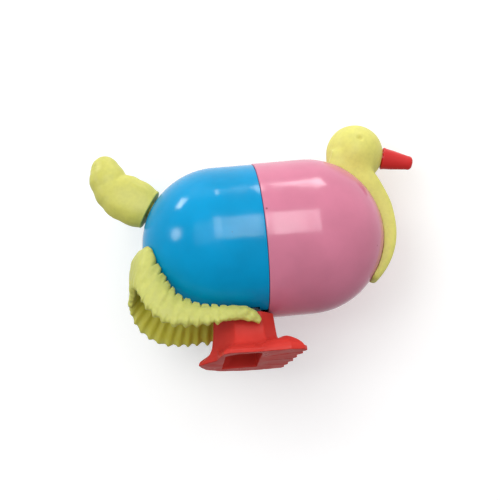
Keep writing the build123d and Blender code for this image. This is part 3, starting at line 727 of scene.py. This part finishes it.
def frill_rows():
    """Stations from the near ankle round the rump to the far ankle."""
    near = [(upper, lower, thick, -1) for upper, lower, thick in FRILL_FRONT + FRILL_NEAR]
    far = [(upper, lower, thick, 1) for upper, lower, thick in FRILL_FRONT + FRILL_FAR]
    stations = near + [(*FRILL_RUMP, 1)] + far[::-1]
    return [[u[0], side * u[1], u[2], w[0], side * w[1], w[2], thick] for u, w, thick, side in stations]


SPAN_SAMPLES = 24       # between one station and the next


def smooth_path(rows, count):
    """Catmull-Rom samples through rows of numbers, evenly spaced in distance."""
    rows = np.array(rows)
    padded = np.vstack([2 * rows[0] - rows[1], rows, 2 * rows[-1] - rows[-2]])
    fine = []
    for i in range(1, len(padded) - 2):
        a, b, c, d = padded[i - 1:i + 3]
        for t in np.linspace(0, 1, SPAN_SAMPLES, endpoint=False):
            fine.append(0.5 * (2 * b + (c - a) * t + (2 * a - 5 * b + 4 * c - d) * t**2
                               + (3 * b - a - 3 * c + d) * t**3))
    fine = np.array(fine + [rows[-1]])
    middle = (fine[:, 0:3] + fine[:, 3:6]) / 2
    walked = np.concatenate([[0], np.cumsum(length(np.diff(middle, axis=0)))])
    spots = np.linspace(0, walked[-1], count)
    return np.stack([np.interp(spots, walked, column) for column in fine.T], -1), spots


def unit(vectors):
    return vectors / np.maximum(length(vectors), 1e-9)[..., None]


PLEAT = 2.5
DRIFT = 0.16        # how far one pleat may stray, as a share of a pleat
FRILL_SEED = 7
ACROSS = 52         # points in a loop across the skirt
SQUARE = 0.62       # below 1 fills out the corners of the section
EDGE_BEAD, TOOTH = 0.55, 0.26
NOTCH, NOTCH_WIDTH = 1.45, 0.13
# How far across the skirt a bead, a tooth and a notch reach, as shares of its width
BEAD_SPAN, TOOTH_SPAN, NOTCH_SPAN = 0.15, 0.20, 0.18
TOOTH_LAG = 0.3     # the free edge's teeth run behind the beads by this share of a pleat
RIB = 0.28
PLAIN_END, PLEAT_GROWTH = 8.5, 4.0      # smooth stretch at each ankle, then the pleats grow in
CALM_FROM, CALM_OVER = 0.70, 0.10       # the top edge runs smooth round the rump
HUG_NEAR, HUG_FAR = 0.9, 2.4            # how firmly the top edge beds on the shell, by side
BED_ACROSS, BED_DEEP = 0.35, 0.45       # the part of a section that beds, across it and outward
SKIRT_SEAT, SKIRT_PLAY = 0.08, 0.06


def make_frill():
    """Pleated skirt: one loop of points across it at each step along it."""
    count = 620
    path, walked = smooth_path(frill_rows(), count)
    upper, lower, thick = path[:, 0:3], path[:, 3:6], path[:, 6]
    along = unit(np.gradient((upper + lower) / 2, axis=0))
    down = lower - upper
    width = length(down)
    down = unit(down)
    out = unit(np.cross(down, along))
    out *= np.sign((out * (upper - np.array([-12.0, 0, -10.0]))).sum(-1))[:, None]
    rng = np.random.default_rng(FRILL_SEED)
    spine = np.stack([np.clip(upper[:, 0], -REAR_STRAIGHT, 0), 0 * walked, 0 * walked], -1)
    shell_edge = spine + unit(upper - spine) * (REAR_R + SKIRT_SEAT)
    # The far arm sits tighter on the shell than the near one
    hug = np.interp(upper[:, 1], [-4.0, 4.0], [HUG_NEAR, HUG_FAR])
    total = walked[-1]
    fins = int(total / PLEAT)
    pleats = fins + 3       # with spares for the drift
    sizes = rng.uniform(0.6, 1.2, pleats)
    lower_sizes = rng.uniform(0.5, 1.25, pleats)
    strays = np.cumsum(rng.uniform(-DRIFT, DRIFT, pleats))
    drift = np.interp(walked / total * fins, np.arange(pleats), strays)
    rows = []
    for i in range(count):
        phase = walked[i] / total * fins + drift[i]
        number = int(np.clip(round(phase), 0, pleats - 1))
        notch = exp(-((phase - round(phase - 0.5) - 0.5) / NOTCH_WIDTH)**2)
        low_phase = phase + TOOTH_LAG
        low_number = int(np.clip(round(low_phase), 0, pleats - 1))
        wave = cos(2 * pi * low_phase)
        from_tip = min(walked[i], total - walked[i])
        grown = np.clip((from_tip - PLAIN_END) / PLEAT_GROWTH, 0, 1)
        toward_rump = 1 - abs(2 * walked[i] / total - 1)
        top_calm = np.clip((toward_rump - CALM_FROM) / CALM_OVER, 0, 1)
        centre = upper[i] + down[i] * width[i] / 2 + out[i] * thick[i] / 2
        ring = []
        for j in range(ACROSS):
            turn = 2 * pi * j / ACROSS
            # u runs from the shell edge (0) to the free edge (1), v from the inner face (0) outward
            u = 0.5 - 0.5 * np.sign(cos(turn)) * abs(cos(turn))**SQUARE
            v = 0.5 + 0.5 * np.sign(sin(turn)) * abs(sin(turn))**SQUARE
            # Thinner at both edges than in the middle
            swell = (0.45 + 0.55 * min(u / 0.4, 1.0)**0.7) * (1 - 0.25 * u)
            point = upper[i] + down[i] * u * width[i] + out[i] * thick[i] * v * swell
            # The inner top corner is drawn onto the shell, notched or not
            corner = max(1 - u / BED_ACROSS, 0.0) * max(1 - v / BED_DEEP, 0.0)
            bed = grown * min(hug[i] * corner, 1.0)
            point = point * (1 - bed) + shell_edge[i] * bed
            at_edge = exp(-(u / BEAD_SPAN)**2) * (1 - bed)
            at_tooth = exp(-((1 - u) / TOOTH_SPAN)**2)
            at_notch = exp(-((1 - u) / NOTCH_SPAN)**2)
            push = grown * (1 - top_calm) * (EDGE_BEAD - NOTCH * notch) * sizes[number] * at_edge
            push -= 0.4 * grown * NOTCH * notch * v * at_notch * sizes[number]
            push += grown * TOOTH * (0.1 + wave) * lower_sizes[low_number] * at_tooth
            push += grown * RIB * wave * (1 - v)**2 * np.clip(2 * u, 0, 1)
            push += grown * 0.05 * wave * v * sizes[number] * (1 - top_calm)
            away = point - centre
            ring.append(point + away / max(sqrt(away @ away), 1e-6) * push)
        rows.append(ring)
    points = np.array(rows)
    lumps = smooth_noise(points, scale=2.4, seed=21) * 0.30
    lumps += smooth_noise(points, scale=1.0, seed=22) * 0.10
    centre = points.mean(axis=1, keepdims=True)
    points += unit(points - centre) * lumps[..., None]
    gap = capsule(points, SKIRT_PLAY)
    spine = np.clip(points[..., 0], -REAR_STRAIGHT, FRONT_STRAIGHT)
    slope = unit(points - np.stack([spine, 0 * gap, 0 * gap], -1))
    points += slope * np.maximum(-gap, 0)[..., None]
    flat = points.reshape(-1, 3)
    faces = []
    for i in range(count - 1):
        here, after = i * ACROSS, (i + 1) * ACROSS
        for j in range(ACROSS):
            k = (j + 1) % ACROSS
            faces.append([here + j, here + k, after + k, after + j])
    faces.append(list(range(ACROSS)))
    faces.append([(count - 1) * ACROSS + j for j in range(ACROSS)][::-1])
    piece = new_piece("feather_skirt", to_row(flat), faces, smooth_angle=70)
    # Share of the inner face at each point, where the material paints shade on the folds' inner faces
    turns = 2 * pi * np.arange(ACROSS) / ACROSS
    inner_shade = np.clip(0.5 - 0.9 * np.sin(turns), 0, 1) * np.clip(1.4 - np.abs(np.cos(turns)), 0, 1)
    # The inside attribute marks where the painted shade goes
    inside = piece.data.attributes.new("inside", "FLOAT", "POINT")
    inside.data.foreach_set("value", np.tile(inner_shade, count))
    dress(piece, "body", ["feather_frill"], VINYL_FRILL)


# ------------------------------------------------------------------ foot, in row millimetres

SOLE_TURN = radians(5.0)
ANKLE_LOW_X, ANKLE_HIGH_X, ANKLE_HALF = -14.0, 1.7, 8.3
ANKLE_WALL = 1.3
FLARE, FLARE_HEIGHT = 4.2, 2.6
FLANGE_Z = -21.3
HEEL = ((6.9, -12.7), (3.3, -13.6), (-3.5, -12.5), (-12.4, -12.7), (-13.9, -11.2), (-14.4, -3.2),
        (-18.6, 2.8), (-15.9, 8.9), (-12.6, 11.6), (-3.7, 13.9), (5.6, 12.8))
TOES = ((6.2, 11.2), (5.4, 9.2), (6.6, 7.4), (5.9, 5.0), (7.2, 3.4), (6.2, 0.4), (7.2, -1.8), (6.3, -4.4),
        (7.8, -6.6), (7.0, -8.9), (8.1, -10.7))
PLAIN_FRONT = ((6.4, 9.0), (7.6, -2.0))
DOME, DOME_REACH = 3.5, 5.8
LEDGE, LEDGE_REACH = 1.8, 3.0
WEBS, WEB_HEIGHT = 14, 0.30
TOE_LINES, TOE_LINE_WIDTH = 9, 0.22
FRONT_FROM, FRONT_OVER = -4.0, 8.0      # where the domed front takes over from the heel's ledge
HOLLOW_TOP = 10.2
HOLLOW_X, HOLLOW_HALF = -7.5, 4.7
HOLLOW_FAR = 8.0


def sole_outline(scallops=True):
    """Outline of the sole: with its scalloped toes, or with a plain front edge."""
    outline = HEEL + (TOES if scallops else PLAIN_FRONT)
    turn = SOLE_TURN
    return [(x * cos(turn) - y * sin(turn), x * sin(turn) + y * cos(turn)) for x, y in outline]


def ankle_outline():
    low, high, half = ANKLE_LOW_X, ANKLE_HIGH_X, ANKLE_HALF
    side = [(low, -half + 6.0), (low + 5.0, -half), (high - 3.5, -half), (high, -half + 4.0)]
    return side + [(x, -y) for x, y in reversed(side)]


def foot_field(p):
    """Webbed sole with domed toes, a tall hollow ankle and a flared skirt between them."""
    z = p[..., 2]
    edge = polygon_distance(p, sole_outline())
    broad = polygon_distance(p, sole_outline(False))
    inward = np.clip(-broad, 0, 20)
    front = np.clip((p[..., 0] - FRONT_FROM) / FRONT_OVER, 0, 1)
    dome = DOME * (1 - (1 - np.clip(inward / DOME_REACH, 0, 1))**2.3)
    ledge = LEDGE * (1 - (1 - np.clip(inward / LEDGE_REACH, 0, 1))**1.6)
    top = 0.8 + front * (dome + 0.6) + (1 - front) * ledge
    fan = np.cos(np.arctan2(p[..., 1], p[..., 0] + 9.0) * WEBS)
    top = top + WEB_HEIGHT * front * fan * np.clip(inward / 2, 0, 1)
    flange = smooth_max((z - top) * 0.75, edge, 0.5)
    flare = FLARE * (1 - 0.7 * front) * np.exp(-np.clip(z, 0, 20) / FLARE_HEIGHT)
    lean = flare - 0.3 * np.clip((z - 7) / 5.6, 0, 1)
    ankle_edge = polygon_distance(p, ankle_outline()) - lean
    pitched = (p[..., 0] * -sin(BODY_PITCH) + (z - SEAM_HEIGHT) * cos(BODY_PITCH)) - FLANGE_Z
    ankle = smooth_max(smooth_max(ankle_edge - 0.15, edge, 0.3), pitched, 0.35)
    solid = smooth_min(ankle, flange, 1.0)
    solid = smooth_max(solid, -z, 0.15)
    hollow = smooth_max(ankle_edge + ANKLE_WALL, z - HOLLOW_TOP, 0.6)
    hollow = smooth_max(hollow, np.abs(p[..., 0] - HOLLOW_X) - HOLLOW_HALF, 0.5)
    hollow = smooth_max(hollow, p[..., 1] - HOLLOW_FAR, 0.5)
    solid = smooth_max(solid, -hollow, 0.25)
    # Faint toe lines pressed into the sole
    from_heel = p[..., 0] + 16.0
    line = np.abs(np.sin(np.arctan2(p[..., 1], from_heel) * TOE_LINES)) * from_heel / TOE_LINES
    groove = np.clip(TOE_LINE_WIDTH - line, 0, 1) * np.clip((p[..., 0] + 1.5) / 2, 0, 1)
    solid = np.maximum(solid, (groove * 0.8 - z) * 0.8)
    return solid + 0.04 * smooth_noise(p, scale=4.0, seed=31)


def place_in_row(points):
    return np.asarray(points) * MM


def make_foot():
    low, high = (-19.8, -14.6, -0.6), (10.8, 14.6, 12.6)
    piece = field_piece("moulded_foot", foot_field, low, high, 0.2, place_in_row, smooth_angle=40)
    dress(piece, "foot", ["foot"], RED)


# ------------------------------------------------------------------ winding knob

KNOB_BASE, KNOB_FLANGE, KNOB_TOP = 21.7, 23.1, 25.4
KNOB_R = 6.2
FLUTES, FLUTE_DEPTH = 18, 0.28
GRIP_HALF, GRIP_WAIST = 5.0, 1.25
ARBOR_R, ARBOR_TOP = 1.5, 24.4
BOSS_R, BOSS_TOP = 2.3, 25.0
GRIP_TURN = radians(35)


def knob_field(p):
    """Fluted disc with a rounded grip bar across it and a boss round the arbor."""
    x, z, y = p[..., 0] - KEY.x, p[..., 2] - KEY.z, p[..., 1]
    radius = np.sqrt(x**2 + z**2)
    angle = np.arctan2(z, x)
    rim = radius - KNOB_R + FLUTE_DEPTH * (0.5 - 0.5 * np.cos(FLUTES * angle))**2 * 2
    middle, half = (KNOB_BASE + KNOB_FLANGE) / 2, (KNOB_FLANGE - KNOB_BASE) / 2
    disc = smooth_max(rim, np.abs(y - middle) - half, 0.4)
    u = x * cos(GRIP_TURN) + z * sin(GRIP_TURN)
    v = -x * sin(GRIP_TURN) + z * cos(GRIP_TURN)
    waist = GRIP_WAIST + 0.05 * u**2 / 4
    grip = smooth_max(np.abs(v) - waist, np.abs(u) - GRIP_HALF, 0.8)
    grip = smooth_max(grip, y - KNOB_TOP, 0.6)
    grip = smooth_max(grip, KNOB_BASE + 0.3 - y, 0.2)
    boss = smooth_max(radius - BOSS_R, y - BOSS_TOP, 0.4)
    boss = np.maximum(boss, KNOB_BASE + 0.3 - y)
    solid = smooth_min(smooth_min(disc, grip, 0.5), boss, 0.4)
    bore = np.maximum(radius - ARBOR_R, y - ARBOR_TOP)
    return smooth_max(solid, -bore, 0.1)


def make_knob():
    low = (KEY.x - 6.8, KNOB_BASE - 0.6, KEY.z - 6.8)
    high = (KEY.x + 6.8, KNOB_TOP + 0.6, KEY.z + 6.8)
    piece = field_piece("winding_knob", knob_field, low, high, step=0.15)
    dress(piece, "winding_train", ["winding_key"], RED)


# ------------------------------------------------------------------ stage, light and camera


def one_sided(name, color, lift=0.0):
    """Pale paper, see-through from behind so that it never hides the toy."""
    material, nodes, links, shader, coords = blank(name)
    grain = noise(nodes, links, coords, scale=40, detail=3)
    links.new(ramp(nodes, links, grain, scaled(color, 0.985), color), shader.inputs["Base Color"])
    shader.inputs["Roughness"].default_value = 0.9
    shader.inputs["Specular IOR Level"].default_value = 0.1
    shader.inputs["Emission Color"].default_value = (1, 1, 1, 1)
    shader.inputs["Emission Strength"].default_value = lift
    clear = nodes.new("ShaderNodeBsdfTransparent")
    choose = nodes.new("ShaderNodeMixShader")
    side = nodes.new("ShaderNodeNewGeometry")
    links.new(side.outputs["Backfacing"], choose.inputs["Fac"])
    links.new(shader.outputs["BSDF"], choose.inputs[1])
    links.new(clear.outputs["BSDF"], choose.inputs[2])
    links.new(choose.outputs["Shader"], nodes["Material Output"].inputs["Surface"])
    return material


def stage_plane(name, centre, normal, size, material):
    """Sheet of paper that catches shadows but neither lights nor shades the toy."""
    turn = Vector(normal).to_track_quat("Z", "Y").to_matrix().to_4x4()
    corners = [(-size, -size, 0), (size, -size, 0), (size, size, 0), (-size, size, 0)]
    matrix = Matrix.Translation(centre) @ turn
    plane = new_piece(name, [matrix @ Vector(c) for c in corners], [[0, 1, 2, 3]])
    if plane.data.polygons[0].normal.dot(Vector(normal)) < 0:
        plane.data.flip_normals()
    plane.data.materials.append(material)
    plane.visible_shadow = False
    plane.visible_diffuse = False
    plane.visible_glossy = False


AZIMUTH, ELEVATION, ROLL = radians(-6.1), radians(-15.8), radians(5.5)
DISTANCE = 0.322
LENS, SENSOR = 85.0, 36.0
# How far right of the frame's middle and above it the centre of the seam stands, as shares of its width
SEAM_ACROSS, SEAM_ABOVE = 0.0156, 0.0176
CAMERA_BACK = Vector((sin(AZIMUTH) * cos(ELEVATION), -cos(AZIMUTH) * cos(ELEVATION), sin(ELEVATION)))
SEAM_CENTRE = Vector((0, 0, SEAM_HEIGHT * MM))
LIGHT_DISTANCE = 0.5


def make_camera():
    right = Vector((cos(AZIMUTH), sin(AZIMUTH), 0))
    up = CAMERA_BACK.cross(right)
    rolled_right = right * cos(ROLL) - up * sin(ROLL)
    rolled_up = right * sin(ROLL) + up * cos(ROLL)
    view_width = DISTANCE * SENSOR / LENS
    aside = rolled_right * SEAM_ACROSS * view_width + rolled_up * SEAM_ABOVE * view_width
    place = SEAM_CENTRE + CAMERA_BACK * DISTANCE - aside
    turn = Matrix((rolled_right, rolled_up, CAMERA_BACK)).transposed().to_4x4()
    data = bpy.data.cameras.new("camera")
    data.lens, data.sensor_width = LENS, SENSOR
    data.clip_start, data.clip_end = 0.01, 20
    camera = bpy.data.objects.new("camera", data)
    camera.matrix_world = Matrix.Translation(place) @ turn
    bpy.context.scene.collection.objects.link(camera)
    bpy.context.scene.camera = camera
    return rolled_right, rolled_up


def area_light(name, toward, size, radiance, diffuse=True):
    """Soft panel; one that isn't diffuse shows only as a highlight on gloss."""
    width, height = size
    data = bpy.data.lights.new(name, "AREA")
    data.shape = "RECTANGLE"
    data.size, data.size_y = width, height
    data.energy = radiance * pi * width * height
    light = bpy.data.objects.new(name, data)
    light.location = SEAM_CENTRE + toward.normalized() * LIGHT_DISTANCE
    light.rotation_euler = (-toward).to_track_quat("-Z", "Y").to_euler()
    light.visible_camera = False
    light.visible_diffuse = diffuse
    bpy.context.scene.collection.objects.link(light)


WORLD_LEVEL, WORLD_SLOPE, WORLD_LEAST = 0.82, 0.60, 0.04
STAGE_SIZE = 3.0
FLOOR_GAP, BACKDROP_GAP, BACKDROP_LIFT = 0.0003, 0.028, 0.17
WINDOW_WIDTH, WINDOW_HEIGHT = 0.24, 0.28
# Panes of the overhead window: middle and width as shares of its own width, then radiance
PANES = ((-0.405, 0.12, 17.0), (-0.28, 0.07, 24.0), (-0.17, 0.055, 38.0), (-0.10, 0.065, 24.0),
         (0.10, 0.075, 24.0), (0.24, 0.15, 23.0), (0.445, 0.11, 19.0))


def make_stage(right, up):
    back = CAMERA_BACK
    floor_paper = one_sided("floor_paper", (0.62, 0.62, 0.62))
    stage_plane("floor", (0, 0, -FLOOR_GAP), (0, 0, 1), STAGE_SIZE, floor_paper)
    backdrop_paper = one_sided("backdrop_paper", (0.95, 0.95, 0.95), BACKDROP_LIFT)
    stage_plane("backdrop", SEAM_CENTRE - back * BACKDROP_GAP, back, STAGE_SIZE, backdrop_paper)
    world = bpy.data.worlds.new("studio")
    world.use_nodes = True
    nodes, links = world.node_tree.nodes, world.node_tree.links
    sky = nodes["Background"]
    sky.inputs["Color"].default_value = (1, 1, 1, 1)
    coords = nodes.new("ShaderNodeTexCoord")
    dot = nodes.new("ShaderNodeVectorMath")
    dot.operation = "DOT_PRODUCT"
    dot.inputs[1].default_value = up
    links.new(coords.outputs["Generated"], dot.inputs[0])
    level = nodes.new("ShaderNodeMath")
    level.operation = "MULTIPLY_ADD"
    level.inputs[1].default_value = WORLD_SLOPE
    level.inputs[2].default_value = WORLD_LEVEL
    links.new(dot.outputs["Value"], level.inputs[0])
    least = nodes.new("ShaderNodeMath")
    least.operation = "MAXIMUM"
    least.inputs[1].default_value = WORLD_LEAST
    links.new(level.outputs["Value"], least.inputs[0])
    links.new(least.outputs["Value"], sky.inputs["Strength"])
    bpy.context.scene.world = world
    overhead = right * 0.09 + up * 0.41 + back * 0.91
    overhead_left = right * -0.38 + up * 0.28 + back * 0.88
    far_window = right * 0.02 + up * 1.0 + back * 0.07
    far_pane = far_window - right * 0.09 + back * 0.08
    left_upper = right * -0.69 + up * 0.72 + back * 0.03
    left_lower = right * -0.89 + up * 0.22 + back * 0.40
    area_light("overhead", overhead_left, (WINDOW_WIDTH, WINDOW_HEIGHT), 3.0)
    for number, (spot, share, glow) in enumerate(PANES):
        toward = overhead + right * spot * (WINDOW_WIDTH / LIGHT_DISTANCE)
        size = (WINDOW_WIDTH * share, WINDOW_HEIGHT)
        area_light(f"overhead_pane_{number}", toward, size, glow, diffuse=False)
    area_light("far_window", far_window - right * 0.35, (0.30, 0.17), 1.1)
    area_light("far_window_glint", far_window + right * 0.19, (0.14, 0.13), 21.0, diffuse=False)
    area_light("far_pane_glint", far_pane, (0.025, 0.10), 24.0, diffuse=False)
    area_light("left_upper_glint", left_upper, (0.068, 0.105), 40.0, diffuse=False)
    area_light("left_lower_glint", left_lower, (0.12, 0.10), 32.0, diffuse=False)
    bpy.context.scene.view_settings.view_transform = "Standard"


make_rear_shell()
make_front_shell()
make_head()
make_beak()
make_tail()
make_frill()
make_foot()
make_knob()
dress_carried_nodes()
make_stage(*make_camera())
